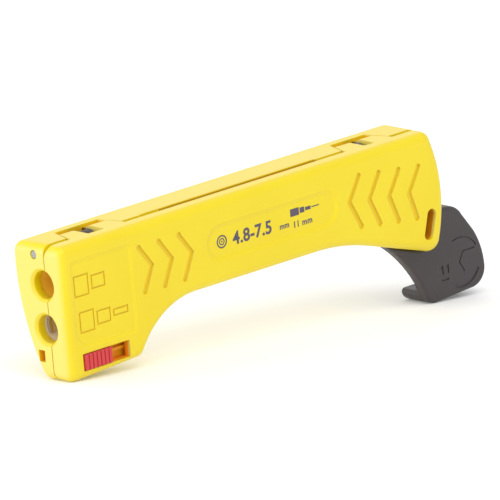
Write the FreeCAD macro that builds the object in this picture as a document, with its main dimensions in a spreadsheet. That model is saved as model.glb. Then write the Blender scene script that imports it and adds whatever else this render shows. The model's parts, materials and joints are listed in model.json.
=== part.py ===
import FreeCAD, Part
import math
import os
import re
import Sketcher
from FreeCAD import Vector

# A hand-held coaxial cable stripper: two half shells hinged on a long pin along the top edge,
# two cable ports in the front face, a slide lock low on the head and an open-end wrench for
# cable connectors at the rear.
#
# Frame, in millimetres: the origin is the middle of the lower cable port's mouth, on the front
# face. +X runs along the tool towards the wrench, +Y to the far half, +Z up to the hinge.
# The near half is the one that opens, the far half is the fixed one.

SIZES = {
    # Body outline, seen from the side
    "body_length": 132.6, "top_height": 22.2, "head_drop": 13.6,
    "near_reach": 7.5, "far_reach": 10.7, "seam_offset": 1.5, "seam_gap": 0.15,
    "front_low_radius": 3.0, "front_top_radius": 2.6, "underside_tilt": 3.2,
    "heel_radius": 3.0, "throat_radius": 23.11, "throat_end": 46.0, "throat_angle": 147.42,
    "handle_under": -0.4, "belly_start": 88.0, "belly_radius": 60.8, "belly_angle": 72.47,
    "rear_low_x": 127.0, "rear_low_z": -5.98, "rear_low_radius": 3.6,
    "rear_x": 92.85, "rear_z": 5.71, "rear_radius": 39.7,
    "rear_low_angle": -18.9, "rear_top_angle": 21.566, "rear_top_radius": 3.0,
    "near_edge_radius": 2.4, "far_edge_radius": 2.0,
    # Far half's cross-section: a rounded shoulder above a long inward taper
    "shoulder_radius": 3.2, "taper_top": 16.5, "taper_radius": 58.5, "far_foot": 2.36,
    # Hinge
    "hinge_y": 2.4, "hinge_z": 19.4, "pin_radius": 1.15, "pin_front": 0.2, "pin_rear": 122.0,
    "far_bore_radius": 1.17, "near_bore_radius": 1.23, "knuckle_radius": 2.8,
    "knuckle_gap": 0.3, "knuckle_slope": 2.2,
    "front_knuckle_start": 8.5, "front_spring_start": 14.5, "front_spring_end": 20.0,
    "front_knuckle_end": 27.0, "rear_knuckle_start": 104.0, "rear_spring_start": 110.5,
    "rear_spring_end": 114.0, "rear_knuckle_end": 120.0,
    "relief_low": 19.2, "relief_width": 1.7,
    "seam_slot_start": 34.0, "seam_slot_end": 94.4, "seam_slot_width": 0.6, "seam_slot_low": 17.5,
    # Torsion springs on the pin
    "wire_radius": 0.4, "coil_radius": 1.75, "near_leg_end": -1.5, "far_leg_end": 5.3,
    # Cable ports and the cavities in the head
    "port_radius": 3.75, "channel_radius": 4.0, "port_pitch": 11.6,
    "port_bevel": 0.75, "front_wall": 3.0,
    "upper_stop": 15.0, "lower_stop": 15.6, "head_cavity_end": 25.0,
    "cavity_low": -4.6, "far_cavity_top": 14.3, "near_cavity_top": 16.2,
    "far_cavity_depth": 5.2, "near_cavity_depth": 4.9,
    # Weight-saving cavities in the handle, three in a row with ribs between them
    "handle_cavity_start": 28.0, "handle_cavity_length": 23.0, "handle_cavity_pitch": 25.0,
    "handle_cavity_low": 3.0, "far_handle_depth": 5.8, "near_handle_depth": 5.1,
    # Blade carrier, blades and their clamp
    "fit_gap": 0.1, "blade_thickness": 0.5, "blade_half_height": 2.3,
    "blade_back": 4.7, "blade_leg_low": 0.3, "blade_leg_width": 1.2, "slot_gap": 0.05,
    "jacket_cut": 2.6, "core_cut": 0.6, "upper_jacket_x": 9.8, "lower_jacket_x": 4.2,
    "lower_core_x": 10.0, "clamp_z": 5.8, "clamp_half_height": 1.5, "clamp_half_length": 4.0,
    "clamp_x": 7.7, "clamp_face": -0.6, "clamp_floor": 0.4,
    "carrier_face": -1.2, "small_shank_radius": 0.8, "small_head_radius": 1.45,
    "small_head_height": 0.55, "carrier_screw_front": 14.4, "rest_screw_front": 6.6,
    "screw_rear": 21.6, "carrier_screw_tip": 7.0, "rest_screw_tip": -6.2,
    "rest_face": -1.8, "screw_slot": 0.4,
    # Slide lock
    "window_front": 5.0, "window_rear": 21.0, "window_low": -11.2, "window_high": -6.7,
    "lock_floor": -5.3, "lock_channel_front": 3.4, "lock_channel_rear": 23.2,
    "lock_channel_low": -11.3, "lock_channel_high": -5.4, "lock_travel": 6.2,
    "button_front": 5.3, "button_rear": 14.6, "button_proud": 0.4, "button_gap": 0.2,
    "flange_front": 4.2, "flange_rear": 15.7, "flange_inner": -3.9, "flange_high": -5.6,
    "grip_pitch": 1.35, "grip_width": 0.45, "grip_depth": 0.25,
    "hook_front": 7.0, "hook_arm_rear": 9.5, "hook_rear": 13.5, "hook_low": -8.8,
    "hook_high": -6.2, "nose_inner": 1.2, "hook_reach": 3.0,
    "retainer_outer": -3.7, "retainer_inner": -2.5, "retainer_rib_low": -9.35,
    "retainer_rib_high": -8.55, "retainer_rib_outer": -4.6, "retainer_rib_front": 16.2,
    "catch_front": 5.5, "catch_ledge": 16.1, "catch_rear": 21.0, "catch_low": -9.3,
    "catch_high": -5.7, "catch_depth": 3.6, "catch_ledge_depth": 0.9,
    "catch_slot_inner": 1.3, "catch_slot_low": -8.8,
    # Grip grooves on the near side
    "groove_half_width": 0.85, "groove_depth": 0.6,
    "front_groove_top_x": 26.9, "front_groove_apex_x": 30.8, "front_groove_low_x": 27.8,
    "front_groove_top_z": 15.9, "front_groove_apex_z": 10.6, "front_groove_low_z": 4.3,
    "groove_pitch": 6.9, "rear_groove_top_x": 103.4, "rear_groove_apex_x": 99.5,
    "rear_groove_low_x": 103.0, "rear_groove_close": 0.45,
    "rear_groove_top_z": 16.4, "rear_groove_apex_z": 10.2,
    "rear_groove_low_z": 3.2, "rear_groove_drop": 0.85,
    # Recessed panels on the near side
    "label_front": 49.7, "label_rear": 95.8, "label_z": 10.6, "label_radius": 5.0,
    "label_depth": 0.5, "panel_front": 3.2, "panel_rear": 24.4, "panel_low": -5.6,
    "panel_top": 18.0, "panel_radius": 5.0, "panel_small_radius": 1.6, "panel_depth": 0.4,
    "panel_slope": 68.0,
    "mark_line": 0.45, "mark_depth": 0.3, "mark_gap": 0.8, "jacket_mark": 5.1,
    "braid_mark": 4.8, "core_mark": 5.2, "jacket_mark_height": 2.85, "braid_mark_height": 1.9,
    "core_mark_height": 1.0, "upper_mark_x": 4.3, "upper_mark_z": 11.0, "lower_mark_x": 5.2,
    "lower_mark_z": 1.4,
    # Slot near the rear of the near half
    "slot_half_width": 1.55, "slot_low_x": 125.9, "slot_low_z": -4.6, "slot_high_x": 127.4,
    "slot_high_z": 0.3,
    # Wrench
    "wrench_near": -2.5, "wrench_web": 0.6, "wrench_far": 7.5, "wrench_gap": 0.15,
    "wrench_root_x": 115.1, "wrench_root_z": -6.154, "scoop_radius": 40.0, "scoop_end_x": 126.6,
    "scoop_end_z": -19.2, "toe_x": 128.0, "toe_z": -23.3, "toe_bottom_x": 131.2,
    "toe_bottom_z": -25.0, "toe_radius": 3.5, "foot_x": 144.4, "foot_z": -24.1,
    "foot_radius": 5.1, "back_low_x": 149.1, "back_low_z": -18.6, "back_radius": 20.0,
    "back_high_x": 146.1, "back_high_z": -8.8, "neck_x": 142.5, "neck_z": -3.75,
    "neck_radius": 6.0, "neck_end_x": 138.2, "neck_end_z": -0.85, "wrench_top_angle": -8.4,
    "jaw_x": 134.5, "jaw_z": -16.0, "jaw_flats": 11.0, "jaw_front": 118.0,
    "wrench_edge_radius": 0.9, "wrench_far_bevel": 0.4, "toe_tip_radius": 1.0,
    "root_trim_rear": 127.5, "root_trim_low": -12.0,
    "tongue_front": 115.2, "tongue_rear": 127.0, "tongue_top": 9.0, "tongue_face": -1.2,
    "tongue_back": 4.6, "tongue_gap": 0.15, "wrench_screw_front": 117.9,
    "wrench_screw_rear": 123.4, "wrench_screw_z": 4.6, "wrench_shank_radius": 1.1,
    "wrench_head_radius": 2.0, "wrench_head_height": 1.0, "wrench_screw_tip": 7.2,
    # Size mark and jaw symbol engraved on the wrench
    "symbol_x": 140.5, "symbol_z": -16.2, "symbol_radius": 6.5, "symbol_line": 0.2,
    "symbol_thick": 0.35, "symbol_depth": 0.25, "symbol_jaw_x": 143.1, "symbol_jaw": 3.1,
    "symbol_jaw_end": 145.6, "digit_x": 133.8, "digit_pitch": 1.9, "digit_top": -15.7,
    "digit_height": 2.4, "digit_line": 0.45, "underline_z": -19.6, "underline_length": 2.6,
}

document = FreeCAD.newDocument("CoaxStripper")
sheet = document.addObject("Spreadsheet::Sheet", "Sizes")
for row, (alias, number) in enumerate(SIZES.items(), 1):
    sheet.set(f"A{row}", alias)
    sheet.set(f"B{row}", str(number))
    sheet.setAlias(f"B{row}", alias)
document.recompute()

FUNCTIONS = ("abs", "cos", "sin", "sqrt", "tan")
SAME_POINT = 0.05
parts = {}


def bound(expression):
    """The expression with each size's name pointing at its cell in the sheet."""
    return re.sub(r"[a-z][a-z_]*", lambda word: word.group() if word.group() in FUNCTIONS
                  else "Sizes." + word.group(), expression)


def value(expression):
    """The expression's number now."""
    return float(sheet.evalExpression(bound(expression)))


# --- Outlines -----------------------------------------------------------------------------------

def arc(centre_x, centre_y, radius, start_angle, end_angle):
    """A rounded stretch of an outline, by its centre, radius and the angles it runs between."""
    ends = [(f"{centre_x} + ({radius})*cos({angle})", f"{centre_y} + ({radius})*sin({angle})")
            for angle in (start_angle, end_angle)]
    return {"ends": ends, "radius": radius, "left": value(end_angle) > value(start_angle)}


def curve_to(start, end, radius, left=True):
    """A rounded stretch between two points, turning left or right on its way."""
    return {"ends": [start, end], "radius": radius, "left": left}


def rectangle(low_x, low_y, high_x, high_y):
    return [(low_x, low_y), (high_x, low_y), (high_x, high_y), (low_x, high_y)]


def circle(centre_x, centre_y, radius):
    return {"centre": (centre_x, centre_y), "radius": radius}


def place(point):
    return Vector(value(point[0]), value(point[1]), 0)


def pin_coordinate(sketch, kind, geometry, position, expression):
    """Ties one coordinate of a sketch's point to the sheet."""
    index = sketch.addConstraint(
        Sketcher.Constraint(kind, -1, 1, geometry, position, value(expression)))
    sketch.setExpression(f"Constraints[{index}]", bound(expression))


def pin_point(sketch, geometry, position, point):
    pin_coordinate(sketch, "DistanceX", geometry, position, point[0])
    pin_coordinate(sketch, "DistanceY", geometry, position, point[1])


def pin_radius(sketch, geometry, radius):
    index = sketch.addConstraint(Sketcher.Constraint("Radius", geometry, value(radius)))
    sketch.setExpression(f"Constraints[{index}]", bound(radius))


def arc_between(start, end, radius, left):
    """The shorter arc of that radius from start to end."""
    chord = end - start
    outward = Vector(chord.y, -chord.x, 0).normalize() * (1 if left else -1)
    rise = radius - math.sqrt(max(radius ** 2 - (chord.Length / 2) ** 2, 0))
    return Part.Arc(start, (start + end) / 2 + outward * rise, end)


def pin_arc(sketch, geometry, start, end, radius):
    """Fixes an arc's bulge by its radius, or a half circle's by its centre."""
    chord = place(end) - place(start)
    if chord.Length < 2 * value(radius) - SAME_POINT:
        pin_radius(sketch, geometry, radius)
    elif abs(chord.y) > abs(chord.x):
        pin_coordinate(sketch, "DistanceX", geometry, 3, f"(({start[0]}) + ({end[0]}))/2")
    else:
        pin_coordinate(sketch, "DistanceY", geometry, 3, f"(({start[1]}) + ({end[1]}))/2")


def draw_loop(sketch, path):
    """Draws a closed outline of corners and arcs, every vertex tied to the sheet."""
    steps = [step if isinstance(step, dict) else {"ends": [step, step]} for step in path]
    edges = []
    for index, step in enumerate(steps):
        following = steps[(index + 1) % len(steps)]
        if "radius" in step:
            edges.append((step["ends"][0], following["ends"][0]
                          if (place(step["ends"][1]) - place(following["ends"][0])).Length
                          < SAME_POINT else step["ends"][1], step))
        if (place(step["ends"][1]) - place(following["ends"][0])).Length >= SAME_POINT:
            edges.append((step["ends"][1], following["ends"][0], None))
    drawn = []
    for start, end, step in edges:
        if step is None:
            geometry = sketch.addGeometry(Part.LineSegment(place(start), place(end)))
        else:
            geometry = sketch.addGeometry(
                arc_between(place(start), place(end), value(step["radius"]), step["left"]))
            pin_arc(sketch, geometry, start, end, step["radius"])
        first = 1 if (sketch.getPoint(geometry, 1) - place(start)).Length < SAME_POINT / 2 else 2
        pin_point(sketch, geometry, first, start)
        drawn.append((geometry, first))
    for index, (geometry, first) in enumerate(drawn):
        following, following_first = drawn[(index + 1) % len(drawn)]
        sketch.addConstraint(Sketcher.Constraint(
            "Coincident", geometry, 3 - first, following, following_first))


def draw_circle(sketch, shape):
    centre = place(shape["centre"])
    geometry = sketch.addGeometry(
        Part.Circle(centre, Vector(0, 0, 1), value(shape["radius"])))
    pin_point(sketch, geometry, 3, shape["centre"])
    pin_radius(sketch, geometry, shape["radius"])


# --- Bodies -------------------------------------------------------------------------------------

PLANES = {"X": ("YZ_Plane", 1), "Y": ("XZ_Plane", -1), "Z": ("XY_Plane", 1)}


def new_body(name):
    body = document.addObject("PartDesign::Body", name + "_body")
    body.Label = name
    parts[name] = body
    return body


def draw(body, name, axis, position, *shapes):
    """A sketch of the body's own, square to the axis and at that position along it."""
    role, sign = PLANES[axis]
    sketch = body.newObject("Sketcher::SketchObject", name + "_sketch")
    plane = next(item for item in body.Origin.OriginFeatures if item.Role == role)
    sketch.AttachmentSupport = [(plane, "")]
    sketch.MapMode = "FlatFace"
    sketch.setExpression("AttachmentOffset.Base.z", bound(f"{sign}*({position})"))
    for shape in shapes:
        if isinstance(shape, dict):
            draw_circle(sketch, shape)
        else:
            draw_loop(sketch, shape)
    return sketch


def extrude(kind, body, name, axis, start, end, *shapes):
    """Pads or pockets the shapes from start to end along the axis, and tests that it did."""
    volume = body.Shape.Volume if body.Tip else 0
    sketch = draw(body, name, axis, start, *shapes)
    feature = body.newObject("PartDesign::" + kind, name)
    feature.Profile = sketch
    feature.setExpression("Length", bound(f"abs(({end}) - ({start}))"))
    forward = (value(end) > value(start)) == (PLANES[axis][1] > 0)
    feature.Reversed = forward if kind == "Pocket" else not forward
    document.recompute()
    change = body.Shape.Volume - volume
    if (change <= 0) if kind == "Pad" else (change >= 0):
        raise RuntimeError(f"{body.Label}: {name} changes the volume by {change:.3f}")
    return feature


def add(body, name, axis, start, end, *shapes):
    return extrude("Pad", body, name, axis, start, end, *shapes)


def cut(body, name, axis, start, end, *shapes):
    return extrude("Pocket", body, name, axis, start, end, *shapes)


def dress(kind, body, name, size, test):
    """Fillets or chamfers the edges that pass the test."""
    edges = [f"Edge{index}" for index, edge in enumerate(body.Shape.Edges, 1) if test(edge)]
    if not edges:
        raise RuntimeError(f"{body.Label}: {name} finds no edges")
    base = body.Tip
    feature = body.newObject("PartDesign::" + kind, name)
    feature.Base = (base, edges)
    feature.setExpression("Radius" if kind == "Fillet" else "Size", bound(size))
    document.recompute()
    return feature


def lies_at(edge, axis, position):
    """Whether an edge lies in the plane at that position along the axis."""
    box = edge.BoundBox
    low, high = {"X": (box.XMin, box.XMax), "Y": (box.YMin, box.YMax),
                 "Z": (box.ZMin, box.ZMax)}[axis]
    wanted = value(position)
    return abs(low - wanted) < 1e-3 and abs(high - wanted) < 1e-3


def is_sharp(shape, edge):
    """Whether the two faces that share the edge meet at more than 12 degrees."""
    point = edge.valueAt((edge.FirstParameter + edge.LastParameter) / 2)
    normals = [face.normalAt(*face.Surface.parameter(point))
               for face in shape.ancestorsOfType(edge, Part.Face)]
    return normals[0].getAngle(normals[1]) > math.radians(12)


NEAR_FACE = "-near_reach"
NEAR_SEAM = "-(seam_offset + seam_gap)"
FAR_SEAM = "-(seam_offset - seam_gap)"
BEYOND = "far_reach + 3"

BODY_OUTLINE = [
    arc("front_low_radius", "front_low_radius - head_drop", "front_low_radius", "180",
        "270 + underside_tilt"),
    arc("throat_end + (throat_radius + heel_radius)*cos(throat_angle)",
        "handle_under - throat_radius + (throat_radius + heel_radius)*sin(throat_angle)",
        "heel_radius", "270 + underside_tilt", "180 + throat_angle"),
    arc("throat_end", "handle_under - throat_radius", "throat_radius", "throat_angle", "90"),
    arc("belly_start", "handle_under - belly_radius", "belly_radius", "90", "belly_angle"),
    arc("rear_low_x", "rear_low_z", "rear_low_radius", "180 + belly_angle",
        "360 + rear_low_angle"),
    arc("rear_x", "rear_z", "rear_radius", "rear_low_angle", "rear_top_angle"),
    arc("rear_x + (rear_radius - rear_top_radius)*cos(rear_top_angle)",
        "top_height - rear_top_radius", "rear_top_radius", "rear_top_angle", "90"),
    arc("front_top_radius", "top_height - front_top_radius", "front_top_radius", "90", "180"),
]

PORTS = [circle("0", "0", "port_radius"), circle("0", "port_pitch", "port_radius")]
CHANNELS = {"lower": circle("0", "0", "channel_radius"),
            "upper": circle("0", "port_pitch", "channel_radius")}
CARRIER_SCREWS = ("clamp_x", "carrier_screw_front", "screw_rear")
REST_SCREWS = ("rest_screw_front", "screw_rear")


def hinge_circle(radius):
    return circle("hinge_y", "hinge_z", radius)


def screw_circles(places, radius):
    return [circle(x, "clamp_z", radius) for x in places]


def wrench_circles(radius):
    return [circle(x, "wrench_screw_z", radius)
            for x in ("wrench_screw_front", "wrench_screw_rear")]


def handle_cavities(body, seam, depth, top):
    """Three cavities in the handle, with a rib left between each two."""
    for index in range(3):
        start = f"handle_cavity_start + {index}*handle_cavity_pitch"
        cut(body, f"handle_cavity_{index + 1}", "Y", seam, depth,
            rectangle(start, "handle_cavity_low", f"{start} + handle_cavity_length", top))


def is_port_rim(edge):
    if not lies_at(edge, "X", "0"):
        return False
    middle = edge.valueAt((edge.FirstParameter + edge.LastParameter) / 2)
    return any(abs(math.hypot(middle.y, middle.z - height) - value("port_radius")) < 1e-3
               for height in (0, value("port_pitch")))


# --- Far half -----------------------------------------------------------------------------------

def make_far_shell():
    body = new_body("far_shell")
    add(body, "outer", "Y", FAR_SEAM, "far_reach", BODY_OUTLINE)
    # Everything outside the cross-section's shoulder and taper
    cut(body, "taper", "X", "-1", "body_length + 1", [
        ("far_reach - shoulder_radius", "top_height + 1"),
        arc("far_reach - shoulder_radius", "top_height - shoulder_radius", "shoulder_radius",
            "90", "0"),
        curve_to(("far_reach", "taper_top"), ("far_foot", "-head_drop"), "taper_radius", False),
        ("far_foot", "-head_drop - 1"),
        (BEYOND, "-head_drop - 1"),
        (BEYOND, "top_height + 1"),
    ])
    blank = body.Shape
    dress("Fillet", body, "far_edges", "far_edge_radius", lambda edge: (
        edge.BoundBox.YMin > value(FAR_SEAM) + 0.1 and is_sharp(blank, edge)))
    for axis, name, start, end in (
            ("front", "front_pocket", "front_knuckle_start", "front_knuckle_end"),
            ("rear", "rear_pocket", "rear_knuckle_start", "rear_knuckle_end")):
        far_side = "hinge_y + knuckle_radius + knuckle_gap"
        cut(body, name, "Z", "top_height", "hinge_z - knuckle_radius - knuckle_gap", [
            (f"{start} - knuckle_gap", "-seam_offset"),
            (f"{end} + knuckle_gap", "-seam_offset"),
            (f"{end} + knuckle_gap - knuckle_slope", far_side),
            (f"{start} - knuckle_gap + knuckle_slope", far_side),
        ])
    cut(body, "seam_slot", "Z", "top_height", "seam_slot_low",
        rectangle("seam_slot_start", "-seam_offset", "seam_slot_end",
                  "seam_slot_width - seam_offset"))
    cut(body, "pin_bore", "X", "0", "pin_rear", hinge_circle("far_bore_radius"))
    cut(body, "ports", "X", "0", "front_wall", *PORTS)
    cut(body, "upper_channel", "X", "front_wall", "upper_stop + 0.2", CHANNELS["upper"])
    cut(body, "head_cavity", "Y", FAR_SEAM, "far_cavity_depth",
        rectangle("front_wall", "cavity_low", "head_cavity_end", "far_cavity_top"))
    handle_cavities(body, FAR_SEAM, "far_handle_depth", "far_cavity_top")
    cut(body, "catch_opening", "Y", FAR_SEAM, "catch_depth",
        rectangle("catch_front", "catch_low", "catch_ledge", "catch_high"))
    cut(body, "catch_undercut", "Y", "catch_ledge_depth", "catch_depth",
        rectangle("catch_ledge - 0.5", "catch_low", "catch_rear", "catch_high"))
    cut(body, "catch_slot", "X", "0", "catch_front + 0.5",
        rectangle("catch_slot_inner", "catch_slot_low", "catch_depth", "catch_high"))
    cut(body, "wrench_pocket", "Y", FAR_SEAM, "tongue_back + tongue_gap",
        rectangle("tongue_front - tongue_gap", "-head_drop", "tongue_rear + tongue_gap",
                  "tongue_top + tongue_gap"))
    cut(body, "carrier_screw_holes", "Y", "far_cavity_depth - 0.5", "carrier_screw_tip + 0.2",
        *screw_circles(CARRIER_SCREWS, "small_shank_radius"))
    cut(body, "wrench_screw_holes", "Y", "tongue_back", "wrench_screw_tip + 0.2",
        *wrench_circles("wrench_shank_radius"))
    dress("Chamfer", body, "port_bevels", "port_bevel", is_port_rim)


def make_near_shell():
    body = new_body("near_shell")
    add(body, "outer", "Y", NEAR_SEAM, NEAR_FACE, BODY_OUTLINE)
    dress("Fillet", body, "near_edges", "near_edge_radius",
          lambda edge: lies_at(edge, "Y", NEAR_FACE))
    # The upper inner edge leans away from the seam, which is how far the half can open
    cut(body, "opening_relief", "X", "-1", "body_length + 1", [
        (NEAR_SEAM, "relief_low"),
        (f"{NEAR_SEAM} + 1", "relief_low"),
        (f"{NEAR_SEAM} + 1", "top_height + 1"),
        (f"{NEAR_SEAM} - relief_width", "top_height + 1"),
    ])
    knuckle = [
        ("-(seam_offset + 2.5)", "hinge_z - knuckle_radius"),
        curve_to(("hinge_y", "hinge_z - knuckle_radius"), ("hinge_y", "hinge_z + knuckle_radius"),
                 "knuckle_radius"),
        ("-(seam_offset + 2.5)", "hinge_z + knuckle_radius"),
    ]
    for name, start, end in (
            ("knuckle_1", "front_knuckle_start", "front_spring_start"),
            ("knuckle_2", "front_spring_end", "front_knuckle_end"),
            ("knuckle_3", "rear_knuckle_start", "rear_spring_start"),
            ("knuckle_4", "rear_spring_end", "rear_knuckle_end")):
        add(body, name, "X", start, end, knuckle)
    for name, x, step in (("slope_1", "front_knuckle_start", "1"),
                          ("slope_2", "front_knuckle_end", "-1"),
                          ("slope_3", "rear_knuckle_start", "1"),
                          ("slope_4", "rear_knuckle_end", "-1")):
        cut(body, name, "Z", "top_height + 1", "hinge_z - knuckle_radius - 0.5", [
            (x, NEAR_SEAM),
            (f"{x} + {step}*knuckle_slope", "hinge_y + knuckle_radius + 0.5"),
            (f"{x} - {step}*0.5", "hinge_y + knuckle_radius + 0.5"),
            (f"{x} - {step}*0.5", NEAR_SEAM),
        ])
    cut(body, "pin_bore", "X", "front_knuckle_start - 1", "rear_knuckle_end + 1",
        hinge_circle("near_bore_radius"))
    cut(body, "ports", "X", "0", "front_wall", *PORTS)
    cut(body, "head_cavity", "Y", NEAR_SEAM, "-near_cavity_depth",
        rectangle("front_wall", "cavity_low", "head_cavity_end", "near_cavity_top"))
    handle_cavities(body, NEAR_SEAM, "-near_handle_depth", "near_cavity_top - 1")
    cut(body, "rest_screw_holes", "Y", "0.5 - near_cavity_depth", "rest_screw_tip - 0.2",
        *screw_circles(REST_SCREWS, "small_shank_radius"))
    dress("Chamfer", body, "port_bevels", "port_bevel", is_port_rim)
    lock_opening(body)
    grip_grooves(body)
    panel = cut(body, "label_panel", "Y", NEAR_FACE, "label_depth - near_reach", [
        arc("label_front + label_radius", "label_z", "label_radius", "90", "270"),
        arc("label_rear - label_radius", "label_z", "label_radius", "-90", "90"),
    ])
    slope_walls(panel)
    strip_marks(body)
    cut(body, "rear_slot", "Y", NEAR_FACE, NEAR_SEAM, [
        curve_to(("slot_low_x - slot_half_width", "slot_low_z"),
                 ("slot_low_x + slot_half_width", "slot_low_z"), "slot_half_width"),
        curve_to(("slot_high_x + slot_half_width", "slot_high_z"),
                 ("slot_high_x - slot_half_width", "slot_high_z"), "slot_half_width"),
    ])


def lock_opening(body):
    """The window that shows the slide lock, and the channel behind it."""
    cut(body, "lock_channel", "Y", NEAR_SEAM, "lock_floor",
        rectangle("lock_channel_front", "lock_channel_low", "lock_channel_rear",
                  "lock_channel_high"))
    cut(body, "lock_window", "Y", NEAR_FACE, "lock_floor + 0.5",
        rectangle("window_front", "window_low", "window_rear", "window_high"))


def groove(top, apex, low):
    """A chevron groove with round ends, as one closed outline."""
    half = "groove_half_width"
    left, right = ([(f"{x} {sign} {half}", z) for x, z in (top, apex, low)] for sign in "-+")
    return [
        left[0], left[1],
        curve_to(left[2], right[2], half),
        right[1],
        curve_to(right[0], left[0], half),
    ]


def grip_grooves(body):
    """Three chevrons behind the head pointing back, and four at the rear pointing forward."""
    for index in range(3):
        step = f"{index}*groove_pitch"
        cut(body, f"front_groove_{index + 1}", "Y", NEAR_FACE, "groove_depth - near_reach",
            groove(*[(f"front_groove_{corner}_x + {step}", f"front_groove_{corner}_z")
                     for corner in ("top", "apex", "low")]))
    for index in range(4):
        step, drop = f"{index}*groove_pitch", f"{index}*rear_groove_drop"
        closer = {"low": f" - {index}*rear_groove_close"}
        cut(body, f"rear_groove_{index + 1}", "Y", NEAR_FACE, "groove_depth - near_reach",
            groove(*[(f"rear_groove_{corner}_x + {step}{closer.get(corner, '')}",
                      f"rear_groove_{corner}_z - {drop}")
                     for corner in ("top", "apex", "low")]))


def slope_walls(panel):
    """Gives a shallow panel walls that lean outwards."""
    panel.setExpression("TaperAngle", "-Sizes.panel_slope")
    document.recompute()


def box_mark(front, rear, middle, half_height):
    """The thin outline of a box: one rectangle inside another."""
    line = "mark_line"
    return [
        rectangle(front, f"{middle} - {half_height}", rear, f"{middle} + {half_height}"),
        rectangle(f"{front} + {line}", f"{middle} - {half_height} + {line}",
                  f"{rear} - {line}", f"{middle} + {half_height} - {line}"),
    ]


def strip_marks(body):
    """The shallow panel on the head, with a stripped cable's outline beside each port."""
    panel = cut(body, "mark_panel", "Y", NEAR_FACE, "panel_depth - near_reach", [
        arc("panel_front + panel_radius", "panel_low + panel_radius", "panel_radius",
            "180", "270"),
        arc("panel_rear - panel_small_radius", "panel_low + panel_small_radius",
            "panel_small_radius", "270", "360"),
        arc("panel_rear - panel_small_radius", "panel_top - panel_small_radius",
            "panel_small_radius", "0", "90"),
        arc("panel_front + panel_small_radius", "panel_top - panel_small_radius",
            "panel_small_radius", "90", "180"),
    ])
    slope_walls(panel)
    marks = []
    for port in ("upper", "lower"):
        front, middle = f"{port}_mark_x", f"{port}_mark_z"
        marks += box_mark(front, f"{front} + jacket_mark", middle, "jacket_mark_height")
        start = f"{front} + jacket_mark + mark_gap"
        marks += box_mark(start, f"{start} + braid_mark", middle, "braid_mark_height")
    start = "lower_mark_x + jacket_mark + braid_mark + 2*mark_gap"
    marks += box_mark(start, f"{start} + core_mark", "lower_mark_z", "core_mark_height")
    cut(body, "strip_marks", "Y", "panel_depth - near_reach",
        "panel_depth + mark_depth - near_reach", *marks)


# --- Hinge --------------------------------------------------------------------------------------

def make_hinge_pin():
    body = new_body("hinge_pin")
    add(body, "rod", "X", "pin_front", "pin_rear", hinge_circle("pin_radius"))
    dress("Chamfer", body, "ends", "wire_radius/2",
          lambda edge: lies_at(edge, "X", "pin_front") or lies_at(edge, "X", "pin_rear"))


def make_spring(name, start, end, turns):
    """A torsion spring wound on the pin: its turns, a leg to the near half and one to the far."""
    body = new_body(name)
    sketch = draw(body, "turns", "Y", "hinge_y")
    sketch.setExpression("AttachmentOffset.Base.y", bound("hinge_z"))
    first = f"({start} + {end})/2 - {turns}*wire_radius"
    low, high = "coil_radius - wire_radius/2", "coil_radius"
    crowns = [curve_to((f"{first} + {2 * turn + 2}*wire_radius", high),
                       (f"{first} + {2 * turn}*wire_radius", high), "wire_radius")
              for turn in reversed(range(turns))]
    draw_loop(sketch, [(first, low), (f"{first} + {2 * turns}*wire_radius", low)] + crowns)
    coil = body.newObject("PartDesign::Revolution", "coil")
    coil.Profile = sketch
    coil.ReferenceAxis = (sketch, ["H_Axis"])
    coil.Angle = 360
    document.recompute()
    height = "hinge_z - coil_radius"
    add(body, "near_leg", "Y", "hinge_y", "near_leg_end",
        circle(f"{first} + 1.2*wire_radius", height, "wire_radius"))
    add(body, "far_leg", "Y", "hinge_y", "far_leg_end",
        circle(f"{first} + {2 * turns - 1.2}*wire_radius", height, "wire_radius"))


# --- Screws -------------------------------------------------------------------------------------

def screw(name, x, z, seat, tip, head_height, shank_radius, head_radius):
    """One slotted screw along Y, its head on the seat and its shank running to the tip."""
    body = new_body(name)
    crown = f"{seat} {'-' if value(tip) > value(seat) else '+'} {head_height}"
    add(body, "head", "Y", seat, crown, circle(x, z, head_radius))
    add(body, "shank", "Y", seat, tip, circle(x, z, shank_radius))
    cut(body, "driver_slot", "Y", crown, f"(({crown}) + ({seat}))/2",
        rectangle(f"{x} - {head_radius}", f"{z} - screw_slot/2", f"{x} + {head_radius}",
                  f"{z} + screw_slot/2"))
    return parts.pop(name)


def make_screws(name, places, **sizes):
    """A group of the same screw, each a solid of its own."""
    group = document.addObject("Part::Compound", name)
    group.Links = [screw(f"{name}_{index}", x, z, **sizes)
                   for index, (x, z) in enumerate(places, 1)]
    group.Label = name
    document.recompute()
    parts[name] = group


def make_all_screws():
    small = {"head_height": "small_head_height", "shank_radius": "small_shank_radius",
             "head_radius": "small_head_radius"}
    clamp, *others = [(x, "clamp_z") for x in CARRIER_SCREWS]
    make_screws("carrier_screws", others, seat="carrier_face + small_head_height",
                tip="carrier_screw_tip", **small)
    make_screws("clamp_screw", [clamp], seat="clamp_face", tip="carrier_screw_tip", **small)
    make_screws("rest_screws", [(x, "clamp_z") for x in REST_SCREWS],
                seat="rest_face - small_head_height", tip="rest_screw_tip", **small)
    make_screws("wrench_screws", [("wrench_screw_front", "wrench_screw_z"),
                                  ("wrench_screw_rear", "wrench_screw_z")],
                seat="tongue_face + wrench_head_height", tip="wrench_screw_tip",
                head_height="wrench_head_height", shank_radius="wrench_shank_radius",
                head_radius="wrench_head_radius")


# --- Blades and what holds them -----------------------------------------------------------------

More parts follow.
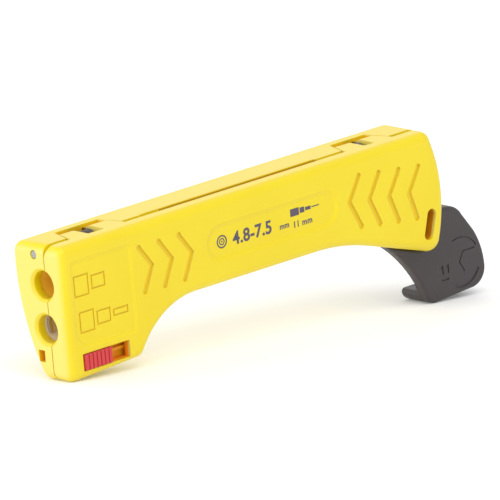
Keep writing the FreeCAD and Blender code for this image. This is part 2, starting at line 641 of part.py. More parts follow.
def blade_outline(side, cut_depth):
    """An L-shaped blade. Side is 1 above the clamp and -1 below it."""
    def height(offset):
        return f"clamp_z + {side}*({offset})"
    inner, outer = height("port_pitch/2 - blade_half_height"), height(
        "port_pitch/2 + blade_half_height")
    leg_high, leg_low = height("blade_leg_low + blade_leg_width"), height("blade_leg_low")
    return [(cut_depth, outer), (cut_depth, inner), ("blade_back - blade_leg_width", inner),
            ("blade_back - blade_leg_width", leg_high), ("clamp_floor", leg_high),
            ("clamp_floor", leg_low), ("blade_back", leg_low), ("blade_back", outer)]


def blade_slot(side):
    """The slot that a blade drops into from the open side of its carrier."""
    low, high = sorted((f"clamp_z + {side}*(blade_leg_low - slot_gap)",
                        f"clamp_z + {side}*(port_pitch/2 + blade_half_height + slot_gap)"),
                       key=value)
    return rectangle("carrier_face - 1", low, "blade_back + slot_gap", high)


BLADES = (("upper_jacket_blade", "upper_jacket_x", 1, "jacket_cut"),
          ("lower_jacket_blade", "lower_jacket_x", -1, "jacket_cut"),
          ("lower_core_blade", "lower_core_x", -1, "core_cut"))


def make_blades():
    for name, x, side, cut_depth in BLADES:
        body = new_body(name)
        add(body, "plate", "X", f"{x} - blade_thickness/2", f"{x} + blade_thickness/2",
            blade_outline(side, cut_depth))


def make_carriers():
    """Two blocks side by side, one to each port, held by screws on the line between them."""
    split = "clamp_z {} fit_gap/2"
    spans = {"upper": (split.format("+"), "far_cavity_top - fit_gap"),
             "lower": ("cavity_low + fit_gap", split.format("-"))}
    for port, channel in CHANNELS.items():
        body = new_body(port + "_blade_carrier")
        low, high = spans[port]
        add(body, "block", "Y", "carrier_face", "far_cavity_depth - fit_gap",
            rectangle("front_wall + fit_gap", low, "head_cavity_end - fit_gap", high))
        cut(body, "channel", "X", "front_wall + fit_gap", port + "_stop", channel)
        for name, x, side, cut_depth in BLADES:
            if name.startswith(port):
                cut(body, name + "_slot", "X", f"{x} - blade_thickness/2 - slot_gap",
                    f"{x} + blade_thickness/2 + slot_gap", blade_slot(side))
        cut(body, "clamp_recess", "Y", "carrier_face", "clamp_floor",
            rectangle("clamp_x - clamp_half_length - fit_gap",
                      "clamp_z - clamp_half_height - fit_gap",
                      "clamp_x + clamp_half_length + fit_gap",
                      "clamp_z + clamp_half_height + fit_gap"))
        cut(body, "head_seats", "Y", "carrier_face", "carrier_face + small_head_height",
            *screw_circles(CARRIER_SCREWS[1:], "small_head_radius + fit_gap"))
        cut(body, "screw_holes", "Y", "carrier_face", "far_cavity_depth",
            *screw_circles(CARRIER_SCREWS, "small_shank_radius + slot_gap"))


def make_blade_clamp():
    body = new_body("blade_clamp")
    add(body, "plate", "Y", "clamp_face", "clamp_floor",
        rectangle("clamp_x - clamp_half_length", "clamp_z - clamp_half_height",
                  "clamp_x + clamp_half_length", "clamp_z + clamp_half_height"))
    cut(body, "hole", "Y", "clamp_face", "clamp_floor",
        circle("clamp_x", "clamp_z", "small_shank_radius + slot_gap"))


def make_cable_rest():
    body = new_body("cable_rest")
    add(body, "block", "Y", "rest_face", "fit_gap - near_cavity_depth",
        rectangle("front_wall + fit_gap", "cavity_low + fit_gap", "head_cavity_end - fit_gap",
                  "near_cavity_top - fit_gap"))
    for port, channel in CHANNELS.items():
        cut(body, port + "_channel", "X", "front_wall", port + "_stop", channel)
    cut(body, "head_seats", "Y", "rest_face", "rest_face - small_head_height",
        *screw_circles(REST_SCREWS, "small_head_radius + fit_gap"))
    cut(body, "screw_holes", "Y", "rest_face", "-near_cavity_depth",
        *screw_circles(REST_SCREWS, "small_shank_radius + slot_gap"))


# --- Slide lock ---------------------------------------------------------------------------------

def make_lock_slider():
    """A ribbed button in the window, a flange behind it and a hook that reaches the far half."""
    body = new_body("lock_slider")
    button_face = "-(near_reach + button_proud)"
    add(body, "button", "Y", "flange_inner", button_face,
        rectangle("button_front", "window_low + button_gap", "button_rear",
                  "window_high - button_gap"))
    add(body, "flange", "Y", "flange_inner", "lock_floor + button_gap",
        rectangle("flange_front", "window_low + button_gap", "flange_rear", "flange_high"))
    add(body, "hook_arm", "Y", "flange_inner", "hook_reach",
        rectangle("hook_front", "hook_low", "hook_arm_rear", "hook_high"))
    add(body, "hook_nose", "Y", "nose_inner", "hook_reach",
        rectangle("hook_arm_rear - 0.5", "hook_low", "hook_rear", "hook_high"))
    cut(body, "rib_groove", "Y", "flange_inner", "retainer_rib_outer - fit_gap",
        rectangle("hook_arm_rear", "retainer_rib_low - button_gap", "flange_rear",
                  "retainer_rib_high + button_gap"))
    cut(body, "grip", "Y", button_face, f"{button_face} + grip_depth",
        *[rectangle(f"button_front + {index + 1}*grip_pitch - grip_width/2",
                    "window_low", f"button_front + {index + 1}*grip_pitch + grip_width/2",
                    "window_high") for index in range(9)])


def make_lock_retainer():
    """The plate behind the slider that keeps it in its channel, with a slot for the hook."""
    body = new_body("lock_retainer")
    add(body, "plate", "Y", "retainer_inner", "retainer_outer",
        rectangle("lock_channel_front + fit_gap/2", "lock_channel_low + fit_gap/2",
                  "lock_channel_rear - fit_gap/2", "lock_channel_high - fit_gap/2"))
    add(body, "guide_rib", "Y", "retainer_outer", "retainer_rib_outer",
        rectangle("retainer_rib_front", "retainer_rib_low", "lock_channel_rear - fit_gap/2",
                  "retainer_rib_high"))
    cut(body, "hook_slot", "Y", "retainer_inner", "retainer_outer",
        rectangle("hook_front - knuckle_gap", "hook_low - knuckle_gap",
                  "hook_arm_rear + lock_travel + knuckle_gap", "hook_high + knuckle_gap"))


# --- Wrench -------------------------------------------------------------------------------------

def make_wrench():
    """An open-end wrench with a plate closing its near side, and a tongue into the far shell."""
    body = new_body("wrench")
    add(body, "outline", "Y", "wrench_near", "wrench_far", [
        curve_to(("wrench_root_x", "wrench_root_z"), ("scoop_end_x", "scoop_end_z"),
                 "scoop_radius", False),
        curve_to(("toe_x", "toe_z"), ("toe_bottom_x", "toe_bottom_z"), "toe_radius"),
        curve_to(("foot_x", "foot_z"), ("back_low_x", "back_low_z"), "foot_radius"),
        curve_to(("back_low_x", "back_low_z"), ("back_high_x", "back_high_z"), "back_radius"),
        curve_to(("neck_x", "neck_z"), ("neck_end_x", "neck_end_z"), "neck_radius"),
        arc("rear_x", "rear_z", "rear_radius + wrench_gap", "wrench_top_angle",
            "rear_low_angle"),
        arc("rear_low_x", "rear_low_z", "rear_low_radius + wrench_gap",
            "360 + rear_low_angle", "180 + belly_angle"),
    ])
    cut(body, "root_trim", "Y", "wrench_far", "wrench_web",
        rectangle("wrench_root_x - 1", "root_trim_low", "root_trim_rear", "0"))
    add(body, "tongue", "Y", "tongue_face", "tongue_back", [
        ("tongue_front", "wrench_root_z"), ("tongue_rear", "rear_low_z - rear_low_radius - 1"),
        ("tongue_rear", "tongue_top"), ("tongue_front", "tongue_top")])
    half, side = "jaw_flats/2", "jaw_flats/(2*sqrt(3))"
    cut(body, "jaw", "Y", "wrench_far", "wrench_web", [
        ("jaw_front", f"jaw_z - {half}"), (f"jaw_x + {side}", f"jaw_z - {half}"),
        (f"jaw_x + 2*{side}", "jaw_z"), (f"jaw_x + {side}", f"jaw_z + {half}"),
        ("jaw_front", f"jaw_z + {half}")])
    cut(body, "head_seats", "Y", "tongue_face", "tongue_face + wrench_head_height",
        *wrench_circles("wrench_head_radius + fit_gap"))
    cut(body, "screw_holes", "Y", "tongue_face", "tongue_back",
        *wrench_circles("wrench_shank_radius + slot_gap"))
    dress("Fillet", body, "toe_tip", "toe_tip_radius", lambda edge: (
        lies_at(edge, "Z", f"jaw_z - {half}") and abs(edge.BoundBox.XLength) < 1e-3
        and edge.BoundBox.XMax < value("jaw_x")))
    engrave_symbol(body)
    dress("Fillet", body, "near_edges", "wrench_edge_radius", lambda edge: (
        lies_at(edge, "Y", "wrench_near") and not is_engraved(edge)))
    dress("Chamfer", body, "far_edges", "wrench_far_bevel",
          lambda edge: lies_at(edge, "Y", "wrench_far"))


def engrave_symbol(body):
    """The jaw's size, 11, and an open jaw seen from the side."""
    floor = "wrench_near + symbol_depth"
    strokes = [band("30", "112", "symbol_line"), band("-113", "-26", "symbol_thick")]
    sides = [(f"symbol_jaw {sign} symbol_line", f"(symbol_jaw {sign} symbol_line)*sqrt(3)/2")
             for sign in "+-"]
    (outer, outer_rise), (inner, inner_rise) = sides
    strokes.append([
        ("symbol_jaw_end", f"symbol_z + {outer_rise}"),
        (f"symbol_jaw_x - ({outer})/2", f"symbol_z + {outer_rise}"),
        (f"symbol_jaw_x - ({outer})", "symbol_z"),
        (f"symbol_jaw_x - ({outer})/2", f"symbol_z - {outer_rise}"),
        (f"symbol_jaw_x - ({inner})/2", f"symbol_z - {inner_rise}"),
        (f"symbol_jaw_x - ({inner})", "symbol_z"),
        (f"symbol_jaw_x - ({inner})/2", f"symbol_z + {inner_rise}"),
        ("symbol_jaw_end", f"symbol_z + {inner_rise}"),
    ])
    for index in range(2):
        left = f"digit_x + {index}*digit_pitch"
        strokes.append([
            (left, "digit_top"), (f"{left} + digit_line", "digit_top"),
            (f"{left} + digit_line", "digit_top - digit_height"),
            (left, "digit_top - digit_height"), (left, "digit_top - 1.4*digit_line"),
            (f"{left} - digit_line", "digit_top - 2*digit_line"),
            (f"{left} - digit_line", "digit_top - digit_line"),
        ])
    strokes.append(rectangle("digit_x - digit_line", "underline_z - digit_line/2",
                             "digit_x - digit_line + underline_length",
                             "underline_z + digit_line/2"))
    cut(body, "symbol", "Y", "wrench_near", floor, *strokes)


def band(start, end, half_width):
    """A curved stroke on the symbol's circle."""
    return [
        arc("symbol_x", "symbol_z", f"symbol_radius + {half_width}", start, end),
        arc("symbol_x", "symbol_z", f"symbol_radius - {half_width}", end, start),
    ]


def is_engraved(edge):
    """Whether an edge of the near side belongs to the symbol and not to the wrench's outline."""
    box = edge.BoundBox
    middle = Vector((box.XMin + box.XMax) / 2, 0, (box.ZMin + box.ZMax) / 2)
    centre = Vector(value("symbol_x"), 0, value("symbol_z"))
    inside = (middle - centre).Length < value("symbol_radius") + 0.9
    digits = value("digit_x") - 1 < middle.x < value("symbol_x") and middle.z > value(
        "underline_z - digit_line")
    return (inside or digits) and box.DiagonalLength < 12


make_far_shell()
make_near_shell()
make_hinge_pin()
make_spring("front_spring", "front_spring_start", "front_spring_end", 6)
make_spring("rear_spring", "rear_spring_start", "rear_spring_end", 3)
make_blades()
make_carriers()
make_blade_clamp()
make_cable_rest()
make_lock_slider()
make_lock_retainer()
make_wrench()
make_all_screws()

# --- Tests and files ----------------------------------------------------------------------------

for item in document.Objects:
    if "Invalid" in item.State or "Error" in item.State:
        raise RuntimeError(f"{item.Name} is {item.State}")

os.makedirs("parts", exist_ok=True)
for name, part in parts.items():
    shape = part.Shape
    if shape.isNull() or not shape.isValid() or not shape.Solids:
        raise RuntimeError(f"{name} has no valid solid")
    print(f"{name}: {len(shape.Solids)} solid(s), {shape.Volume:.1f} mm3")
    shape.exportStep(f"parts/{name}.step")
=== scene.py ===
import json
import math

import bmesh
import bpy
from mathutils import Matrix, Vector


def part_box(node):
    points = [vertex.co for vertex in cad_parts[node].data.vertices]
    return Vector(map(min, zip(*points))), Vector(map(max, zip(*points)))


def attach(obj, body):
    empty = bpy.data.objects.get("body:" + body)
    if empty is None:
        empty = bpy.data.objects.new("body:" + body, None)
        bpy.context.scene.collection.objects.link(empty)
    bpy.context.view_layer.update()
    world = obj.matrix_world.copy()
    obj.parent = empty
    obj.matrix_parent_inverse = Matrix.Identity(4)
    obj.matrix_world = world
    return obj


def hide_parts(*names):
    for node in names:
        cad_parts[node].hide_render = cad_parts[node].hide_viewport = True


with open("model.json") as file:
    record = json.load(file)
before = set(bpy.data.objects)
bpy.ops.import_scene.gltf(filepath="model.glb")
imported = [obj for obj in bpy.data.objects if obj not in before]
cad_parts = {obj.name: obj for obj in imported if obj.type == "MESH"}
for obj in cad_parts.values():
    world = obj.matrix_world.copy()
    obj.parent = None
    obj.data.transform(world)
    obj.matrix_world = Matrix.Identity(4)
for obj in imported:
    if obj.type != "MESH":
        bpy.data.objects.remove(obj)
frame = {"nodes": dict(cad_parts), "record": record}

# A coaxial cable stripper: two yellow half shells on a hinge pin, a red slide lock and a dark
# grey wrench. Lengths are in metres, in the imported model's frame: +X along the tool towards the
# wrench, +Y to the far half, +Z up to the hinge.

MM = 0.001
bpy.context.view_layer.update()


# --- Material helpers ---------------------------------------------------------------------------

# Where the Mix node keeps its two colours and its mixed colour, among its other types' sockets
MIX_COLOUR_INPUTS = (6, 7)
MIX_COLOUR_OUTPUT = 2


class Nodes:
    """A material's node tree, with short calls for adding and joining nodes."""

    def __init__(self, name):
        self.material = bpy.data.materials.new(name)
        self.material.use_nodes = True
        self.tree = self.material.node_tree
        self.tree.nodes.clear()
        self.output = self.add("ShaderNodeOutputMaterial")
        self.shader = self.add("ShaderNodeBsdfPrincipled")
        self.join(self.shader.outputs["BSDF"], self.output.inputs["Surface"])
        self.place = self.add("ShaderNodeTexCoord").outputs["Object"]

    def add(self, kind, **values):
        node = self.tree.nodes.new(kind)
        for name, value in values.items():
            if name in node.inputs:
                node.inputs[name].default_value = value
            else:
                setattr(node, name, value)
        return node

    def join(self, start, end):
        self.tree.links.new(start, end)

    def noise(self, size, detail=2.0, stretch=None):
        """Noise whose features are about that size, in metres."""
        node = self.add("ShaderNodeTexNoise", Scale=1.0 / size, Detail=detail)
        place = self.place
        if stretch:
            mapping = self.add("ShaderNodeMapping", Scale=stretch)
            self.join(place, mapping.inputs["Vector"])
            place = mapping.outputs["Vector"]
        self.join(place, node.inputs["Vector"])
        return node.outputs["Fac"]

    def span(self, factor, low, high, start=0.3, end=0.7):
        """A number that runs from low to high as the factor goes from start to end."""
        node = self.add("ShaderNodeMapRange")
        for name, value in (("From Min", start), ("From Max", end), ("To Min", low),
                            ("To Max", high)):
            node.inputs[name].default_value = value
        self.join(factor, node.inputs["Value"])
        return node.outputs["Result"]

    def blend(self, factor, first, second):
        """A colour between two colours, or between a colour and another node's colour."""
        node = self.add("ShaderNodeMix", data_type="RGBA")
        for index, colour in zip(MIX_COLOUR_INPUTS, (first, second)):
            if isinstance(colour, tuple):
                node.inputs[index].default_value = (*colour, 1.0)
            else:
                self.join(colour, node.inputs[index])
        self.join(factor, node.inputs[0])
        return node.outputs[MIX_COLOUR_OUTPUT]

    def inside(self, low, high):
        """1 inside a box whose corners are in millimetres, and 0 outside it."""
        parts = self.add("ShaderNodeSeparateXYZ")
        self.join(self.place, parts.inputs[0])
        result = None
        for axis, (start, end) in enumerate(zip(low, high)):
            for limit, operation in ((start, "GREATER_THAN"), (end, "LESS_THAN")):
                test = self.add("ShaderNodeMath", operation=operation)
                test.inputs[1].default_value = limit * MM
                self.join(parts.outputs[axis], test.inputs[0])
                if result is None:
                    result = test.outputs[0]
                    continue
                both = self.add("ShaderNodeMath", operation="MULTIPLY")
                self.join(result, both.inputs[0])
                self.join(test.outputs[0], both.inputs[1])
                result = both.outputs[0]
        return result

    def bump(self, height, depth, strength=1.0, under=None):
        """Relief of that depth in metres, on top of the relief under it."""
        node = self.add("ShaderNodeBump", Distance=depth, Strength=strength)
        self.join(height, node.inputs["Height"])
        if under:
            self.join(under, node.inputs["Normal"])
        return node.outputs["Normal"]

    def set(self, **values):
        """Sets the shader's own sockets, or joins a node's output to them."""
        for name, value in values.items():
            socket = self.shader.inputs[name.replace("_", " ")]
            if isinstance(value, bpy.types.NodeSocket):
                self.join(value, socket)
            else:
                socket.default_value = value


def moulded_plastic(name, light, deep, low_roughness, high_roughness, grain, grain_depth):
    """Moulded plastic: a spark-eroded grain, slow waves in the surface and a slight drift of colour."""
    make = Nodes(name)
    drift = make.noise(22 * MM, 3.0)
    fine = make.noise(grain, 3.0)
    waves = make.noise(9 * MM, 1.0)
    relief = make.bump(waves, 0.02 * MM, 0.35)
    relief = make.bump(fine, grain_depth, 0.6, relief)
    make.set(Base_Color=make.blend(make.span(drift, 0.0, 1.0), light, deep),
             Roughness=make.span(fine, low_roughness, high_roughness), Normal=relief)
    return make


def steel(name, colour, deep, low_roughness, high_roughness, stretch):
    """Ground steel: fine scratches one way, with a slow drift of tone."""
    make = Nodes(name)
    scratches = make.noise(0.25 * MM, 4.0, stretch)
    tone = make.noise(3 * MM, 2.0)
    make.set(Base_Color=make.blend(make.span(tone, 0.0, 1.0), colour, deep), Metallic=1.0,
             Roughness=make.span(scratches, low_roughness, high_roughness),
             Normal=make.bump(scratches, 0.01 * MM, 0.5))
    return make


# The shells' faces with a painted sheen, paler on the front and top: their normal's axis, where the
# painted sheen starts and is full, and its paler colour
PAINTED_SHEEN_FRONT = (0, -0.6, -0.95, (0.76, 0.62, 0.12))
PAINTED_SHEEN_TOP = (2, 0.8, 0.97, (0.78, 0.60, 0.03))


def moulded_yellow(name, shaded_recesses):
    """The shells' plastic, paler on its front and top faces for a painted sheen, and deeper in colour
    inside recesses for painted shade.

    A recess is a box's low and high corners, in millimetres, and its painted shade colour."""
    make = moulded_plastic(name, (0.805, 0.640, 0.0055), (0.78, 0.610, 0.004), 0.34, 0.44,
                           0.22 * MM, 0.008 * MM)
    make.set(Subsurface_Weight=0.05, Subsurface_Radius=(1.0, 0.55, 0.12),
             Subsurface_Scale=0.9 * MM)
    colour = make.shader.inputs["Base Color"].links[0].from_socket
    facing = make.add("ShaderNodeSeparateXYZ")
    make.join(make.place.node.outputs["Normal"], facing.inputs[0])
    # Painted sheen: faces that look to the front or up are made paler, standing in for light reflected
    # off them
    for axis, start, end, painted_light in (PAINTED_SHEEN_FRONT, PAINTED_SHEEN_TOP):
        colour = make.blend(make.span(facing.outputs[axis], 0.0, 1.0, start, end), colour, painted_light)
    # Painted shade: each recess box gets a deeper, more orange colour for the shade and bounced light
    # inside it
    for low, high, painted_light in shaded_recesses:
        colour = make.blend(make.inside(low, high), colour, painted_light)
    make.set(Base_Color=colour)
    return make


# Painted shade in the shells' recesses: each box's low and high corners in millimetres, and the deeper
# colour painted inside it for the shade and bounced light there
HINGE_POCKET_SHADE = (0.82, 0.50, 0.008)
GROOVE_SHADE = (0.78, 0.55, 0.005)
SEAM_SLOT = ((40.5, -1.4, 17.2), (95.0, -0.5, 21.90), (0.52, 0.27, 0.006))
FRONT_HINGE_POCKET = ((8.0, -1.4, 16.0), (27.5, 5.7, 21.9), HINGE_POCKET_SHADE)
REAR_HINGE_POCKET = ((103.5, -1.4, 16.0), (120.6, 5.7, 21.9), HINGE_POCKET_SHADE)
CATCH_SLOT = ((0.4, 1.2, -8.9), (6.0, 3.7, -5.6), (0.92, 0.48, 0.012))
STRIP_MARKS = ((4.5, -6.97, -3.5), (24.5, -6.6, 17.5), GROOVE_SHADE)
FRONT_GROOVES = ((25.5, -6.97, 2.0), (47.5, -6.6, 19.0), GROOVE_SHADE)
REAR_GROOVES = ((97.5, -6.97, -1.0), (128.0, -6.6, 19.0), GROOVE_SHADE)
LOCK_WINDOW = ((4.5, -6.6, -11.4), (21.5, -3.0, -6.0), (0.95, 0.34, 0.012))
REAR_SLOT = ((124.0, -6.6, -6.4), (129.2, 0.0, 2.1), (0.66, 0.27, 0.005))

# The shells' materials, each with painted shade in its own recesses
far_yellow = moulded_yellow("yellow_plastic", [
    SEAM_SLOT, FRONT_HINGE_POCKET, REAR_HINGE_POCKET, CATCH_SLOT])
near_yellow = moulded_yellow("near_yellow_plastic", [
    STRIP_MARKS, FRONT_GROOVES, REAR_GROOVES, LOCK_WINDOW, REAR_SLOT])
dark = moulded_plastic("dark_plastic", (0.050, 0.0395, 0.041), (0.041, 0.033, 0.035),
                       0.40, 0.54, 0.30 * MM, 0.012 * MM)
red = moulded_plastic("red_plastic", (0.62, 0.045, 0.05), (0.56, 0.036, 0.042),
                      0.34, 0.44, 0.2 * MM, 0.006 * MM)
# Painted shade: the carrier is yellow plastic, made deep orange for the shade and bounced light inside
# the port
inner = moulded_plastic("inner_plastic", (1.0, 0.62, 0.06), (0.96, 0.57, 0.055),
                        0.40, 0.50, 0.2 * MM, 0.006 * MM)
grey = moulded_plastic("grey_plastic", (0.86, 0.77, 0.67), (0.82, 0.73, 0.63),
                        0.34, 0.46, 0.2 * MM, 0.006 * MM)
# Painted shade: the retainer is the shells' yellow plastic, made deep orange for the shade inside the
# lock
retainer_in_shade = moulded_plastic("retainer_plastic", (0.95, 0.46, 0.014), (0.90, 0.42, 0.012),
                                  0.36, 0.46, 0.22 * MM, 0.008 * MM)
bright_steel = steel("steel", (0.42, 0.41, 0.39), (0.34, 0.33, 0.32), 0.30, 0.46, (1, 8, 8))
blade_steel = steel("blade_steel", (0.70, 0.68, 0.66), (0.62, 0.60, 0.59), 0.18, 0.32, (8, 8, 1))
spring_steel = steel("spring_steel", (0.20, 0.18, 0.17), (0.14, 0.125, 0.12), 0.30, 0.45, (1, 8, 8))
ink = moulded_plastic("ink", (0.095, 0.075, 0.11), (0.08, 0.062, 0.095), 0.45, 0.6, 0.15 * MM,
                      0.002 * MM)
# Looks by material slot, and the two nodes that differ from the rest of their slot
LOOKS = {"yellow_plastic": far_yellow, "dark_plastic": dark, "red_plastic": red,
         "inner_plastic": inner, "grey_plastic": grey, "steel": bright_steel,
         "blade_steel": blade_steel}
OWN_LOOKS = {"near_shell": near_yellow, "lock_retainer": retainer_in_shade}


# --- CAD nodes ----------------------------------------------------------------------------------

# Width of the softened edges, in millimetres
EDGE_WIDTHS = {"far_shell": 0.18, "near_shell": 0.18, "lock_slider": 0.15, "wrench": 0.15,
               "lower_blade_carrier": 0.12, "upper_blade_carrier": 0.12, "cable_rest": 0.12}


def dress(node):
    """Gives a CAD node its material, joined faces and softly rounded edges."""
    slot = next(part["material_slot"] for part in frame["record"]["subparts"]
                if part["node"] == node.name)
    node.data.materials.clear()
    node.data.materials.append(OWN_LOOKS.get(node.name, LOOKS[slot]).material)
    weld = node.modifiers.new("weld", "WELD")
    weld.merge_threshold = 0.001 * MM
    if node.name in EDGE_WIDTHS:
        bevel = node.modifiers.new("soft edges", "BEVEL")
        bevel.width = EDGE_WIDTHS[node.name] * MM
        bevel.segments = 2
        bevel.limit_method = "ANGLE"
        bevel.angle_limit = math.radians(32)
        bevel.use_clamp_overlap = True
        bevel.harden_normals = False


for cad_node in frame["nodes"].values():
    dress(cad_node)


# --- Pieces that the CAD leaves plain ------------------------------------------------------------

def new_piece(name, mesh, look, body):
    """A mesh piece with its own material, riding on a body."""
    data = bpy.data.meshes.new(name)
    mesh.to_mesh(data)
    mesh.free()
    for face in data.polygons:
        face.use_smooth = True
    piece = bpy.data.objects.new(name, data)
    bpy.context.scene.collection.objects.link(piece)
    data.materials.append(look.material)
    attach(piece, body)
    return piece


def join_rings(mesh, first, second):
    """Faces all round between two rings of points."""
    for index in range(len(first)):
        after = (index + 1) % len(first)
        mesh.faces.new((first[index], first[after], second[after], second[index]))


def sweep(mesh, path, radius, sides=10):
    """Adds a round wire along a path of points."""
    rings = []
    side = Vector((0, 0, 1))
    for index, point in enumerate(path):
        ahead = (path[min(index + 1, len(path) - 1)] - path[max(index - 1, 0)]).normalized()
        side = (side - side.dot(ahead) * ahead).normalized()
        across = ahead.cross(side)
        turns = (2 * math.pi * step / sides for step in range(sides))
        rings.append([mesh.verts.new(point + radius * (math.cos(turn) * side
                                                       + math.sin(turn) * across))
                      for turn in turns])
    for first, second in zip(rings, rings[1:]):
        join_rings(mesh, first, second)
    mesh.faces.new(list(reversed(rings[0])))
    mesh.faces.new(rings[-1])


WIRE_RADIUS = 0.38 * MM
COIL_RADIUS = 1.75 * MM
STEPS_PER_TURN = 28


def wind_spring(node, turns):
    """A torsion spring's wire: close turns round the pin, with a leg off each end."""
    low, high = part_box(node)
    pin_low, pin_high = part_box("hinge_pin")
    axis = (pin_low + pin_high) / 2
    coil_top = axis.z + COIL_RADIUS
    start = (low.x + high.x) / 2 - turns * WIRE_RADIUS
    path = [Vector((start, low.y + WIRE_RADIUS, coil_top))]
    for step in range(turns * STEPS_PER_TURN + 1):
        turn = step / STEPS_PER_TURN
        angle = 2 * math.pi * turn
        path.append(Vector((start + turn * 2 * WIRE_RADIUS,
                            axis.y + COIL_RADIUS * math.sin(angle),
                            axis.z + COIL_RADIUS * math.cos(angle))))
    path.append(Vector((path[-1].x, high.y - WIRE_RADIUS, coil_top)))
    mesh = bmesh.new()
    sweep(mesh, path, WIRE_RADIUS)
    piece = new_piece(node + "_wire", mesh, spring_steel, "far_half")
    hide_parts(node)


wind_spring("front_spring", 6)
wind_spring("rear_spring", 3)


# The middle of the label panel's floor, and how far the print stands out of it and goes into it
LABEL_PLACE = Vector((0.0728, -0.0070, 0.0106))
PRINT_DEPTH = 0.03 * MM
# Drawings on the label, in millimetres from its middle
CABLE_SECTION_X = -17.4
CABLE_RINGS = ((1.75, 1.35), (0.95, 0.62))  # outer and inner radius
CABLE_CORE_RADIUS = 0.25
CIRCLE_SIDES = 32
CABLE_END_Z = 1.6
# Each step's start, end and half height
CABLE_END_STEPS = ((6.6, 9.6, 1.0), (9.9, 11.5, 0.72), (11.8, 13.7, 0.45), (14.0, 16.6, 0.15))


def on_label(x, z, y):
    """A place from the label's middle: x and z in millimetres, and y, into the shell, in metres."""
    return LABEL_PLACE + Vector((x * MM, y, z * MM))


def circle(radius):
    """Points round a circle at the cable's cross-section."""
    turns = (2 * math.pi * step / CIRCLE_SIDES for step in range(CIRCLE_SIDES))
    return [(CABLE_SECTION_X + radius * math.cos(turn), radius * math.sin(turn))
            for turn in turns]


def print_marks():
    """The label's drawings: a cable's cross-section, and a cable end stripped in steps."""
    mesh = bmesh.new()

    def ring(corners, y):
        return [mesh.verts.new(on_label(*corner, y)) for corner in corners]

    def patch(corners):
        """A thin flat solid with those corners."""
        front, back = ring(corners, -PRINT_DEPTH), ring(corners, PRINT_DEPTH)
        mesh.faces.new(front)
        mesh.faces.new(list(reversed(back)))
        join_rings(mesh, back, front)

    for outer, inner in CABLE_RINGS:
        loops = [ring(circle(radius), y) for radius, y in (
            (outer, -PRINT_DEPTH), (inner, -PRINT_DEPTH), (inner, PRINT_DEPTH),
            (outer, PRINT_DEPTH))]
        for first, second in zip(loops, loops[1:] + loops[:1]):
            join_rings(mesh, first, second)
    patch(circle(CABLE_CORE_RADIUS))
    for start, end, half in CABLE_END_STEPS:
        low, high = CABLE_END_Z - half, CABLE_END_Z + half
        patch(((start, low), (end, low), (end, high), (start, high)))
    marks = new_piece("label_marks", mesh, ink, "near_half")
    for face in marks.data.polygons:
        face.use_smooth = False


CAPITAL_SHARE = 0.7  # of the font's size, for the height of a capital or a number


def print_text(name, words, x, z, height, weight, spacing):
    """Text on the label: its place from the middle, its height and its extra weight, all in mm."""
    curve = bpy.data.curves.new(name, "FONT")
    curve.body = words
    curve.size = height * MM / CAPITAL_SHARE
    curve.space_character = spacing
    curve.offset = weight * MM
    curve.extrude = PRINT_DEPTH
    text = bpy.data.objects.new(name, curve)
    bpy.context.scene.collection.objects.link(text)
    text.matrix_world = (Matrix.Translation(on_label(x, z, 0))
                         @ Matrix.Rotation(math.radians(90), 4, "X"))
    curve.materials.append(ink.material)
    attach(text, "near_half")


print_marks()
print_text("label_range", "4.8-7.5", -13.6, -1.75, 3.3, 0.13, 1.04)
print_text("label_unit", "mm", 2.6, -1.75, 1.5, 0.06, 1.04)
print_text("label_jaw", "11 mm", 7.2, -2.4, 1.6, 0.065, 1.07)


# --- Stage --------------------------------------------------------------------------------------

# The floor touches the front of the head and the wrench's foot, which is lower, so it's tilted
STAND_TILT = math.radians(5.1)
HEAD_CONTACT = Vector((0.00274, 0, -0.01359))


def make_floor():
    """A wide white floor with a little light of its own, for a faint shadow."""
    mesh = bmesh.new()
    bmesh.ops.create_circle(mesh, cap_ends=True, segments=96, radius=6.0)
    data = bpy.data.meshes.new("floor")
    mesh.to_mesh(data)
    mesh.free()
    floor = bpy.data.objects.new("floor", data)
    bpy.context.scene.collection.objects.link(floor)
    floor.matrix_world = (Matrix.Translation(HEAD_CONTACT)
                          @ Matrix.Rotation(STAND_TILT, 4, "Y"))
    look = Nodes("floor")
    tone = look.noise(0.6, 2.0)
    look.set(Base_Color=look.blend(look.span(tone, 0.0, 1.0), (0.93, 0.93, 0.93),
                                   (0.90, 0.90, 0.90)), Roughness=0.85,
             Emission_Color=(1, 1, 1, 1), Emission_Strength=0.10)
    data.materials.append(look.material)
    return floor


# The camera's direction from the tool and its lean, in degrees
AZIMUTH, ELEVATION, LEAN = -42.42, 10.34, 6.75
# Where it looks, how far off it is and how wide a view it has there, in metres
AIM = Vector((0.04251, -0.03223, 0.01502))
CAMERA_DISTANCE = 4.45
VIEW_WIDTH = 0.1266
SENSOR_WIDTH = 36.0  # in millimetres, as Blender counts it


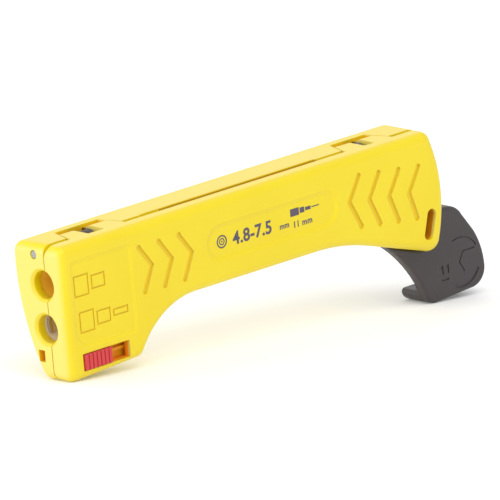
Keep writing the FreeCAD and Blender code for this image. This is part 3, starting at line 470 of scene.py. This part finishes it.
def make_camera():
    """A very long lens from the front and the near side, a little above the tool."""
    azimuth, elevation, lean = map(math.radians, (AZIMUTH, ELEVATION, LEAN))
    back = Vector((math.sin(azimuth) * math.cos(elevation),
                   -math.cos(azimuth) * math.cos(elevation), math.sin(elevation)))
    right = Vector((0, 0, 1)).cross(back).normalized()
    turn = Matrix((right, back.cross(right), back)).transposed().to_4x4()
    turn = Matrix.Rotation(lean, 4, "Y") @ turn
    lens = bpy.data.cameras.new("camera")
    lens.sensor_width = SENSOR_WIDTH
    lens.lens = SENSOR_WIDTH * CAMERA_DISTANCE / VIEW_WIDTH
    lens.clip_start, lens.clip_end = 1.0, 40.0
    camera = bpy.data.objects.new("camera", lens)
    bpy.context.scene.collection.objects.link(camera)
    away = turn.to_3x3() @ Vector((0, 0, CAMERA_DISTANCE))
    camera.matrix_world = Matrix.Translation(AIM + away) @ turn
    bpy.context.scene.camera = camera


def make_light(name, power, size, place, aim):
    """A white panel light, in watts and metres, that faces the aim."""
    light = bpy.data.lights.new(name, "AREA")
    light.shape = "RECTANGLE"
    light.size, light.size_y = size
    light.energy = power
    lamp = bpy.data.objects.new(name, light)
    bpy.context.scene.collection.objects.link(lamp)
    towards = Vector(aim) - Vector(place)
    lamp.matrix_world = (Matrix.Translation(Vector(place))
                         @ towards.to_track_quat("-Z", "Y").to_matrix().to_4x4())


def make_world():
    """An even white studio all round."""
    world = bpy.data.worlds.new("studio")
    bpy.context.scene.world = world
    world.use_nodes = True
    background = world.node_tree.nodes["Background"]
    background.inputs["Color"].default_value = (1, 1, 1, 1)
    background.inputs["Strength"].default_value = 0.82


make_floor()
make_camera()
make_world()
make_light("key", 8.8, (1.2, 1.2), (-0.2, -0.9, 1.3), (0.06, 0, 0))
make_light("front", 6, (0.9, 1.1), (-1.3, -0.1, 0.5), (0.02, 0, 0))
make_light("front sheen", 10, (1.1, 0.8), (-1.25, 0.85, 0.12), (0, 0, 0))
make_light("top sheen", 3, (1.4, 0.9), (1.0, 1.1, 0.75), (0.06, 0, 0.02))
bpy.context.scene.view_settings.view_transform = "Standard"

bpy.context.view_layer.update()
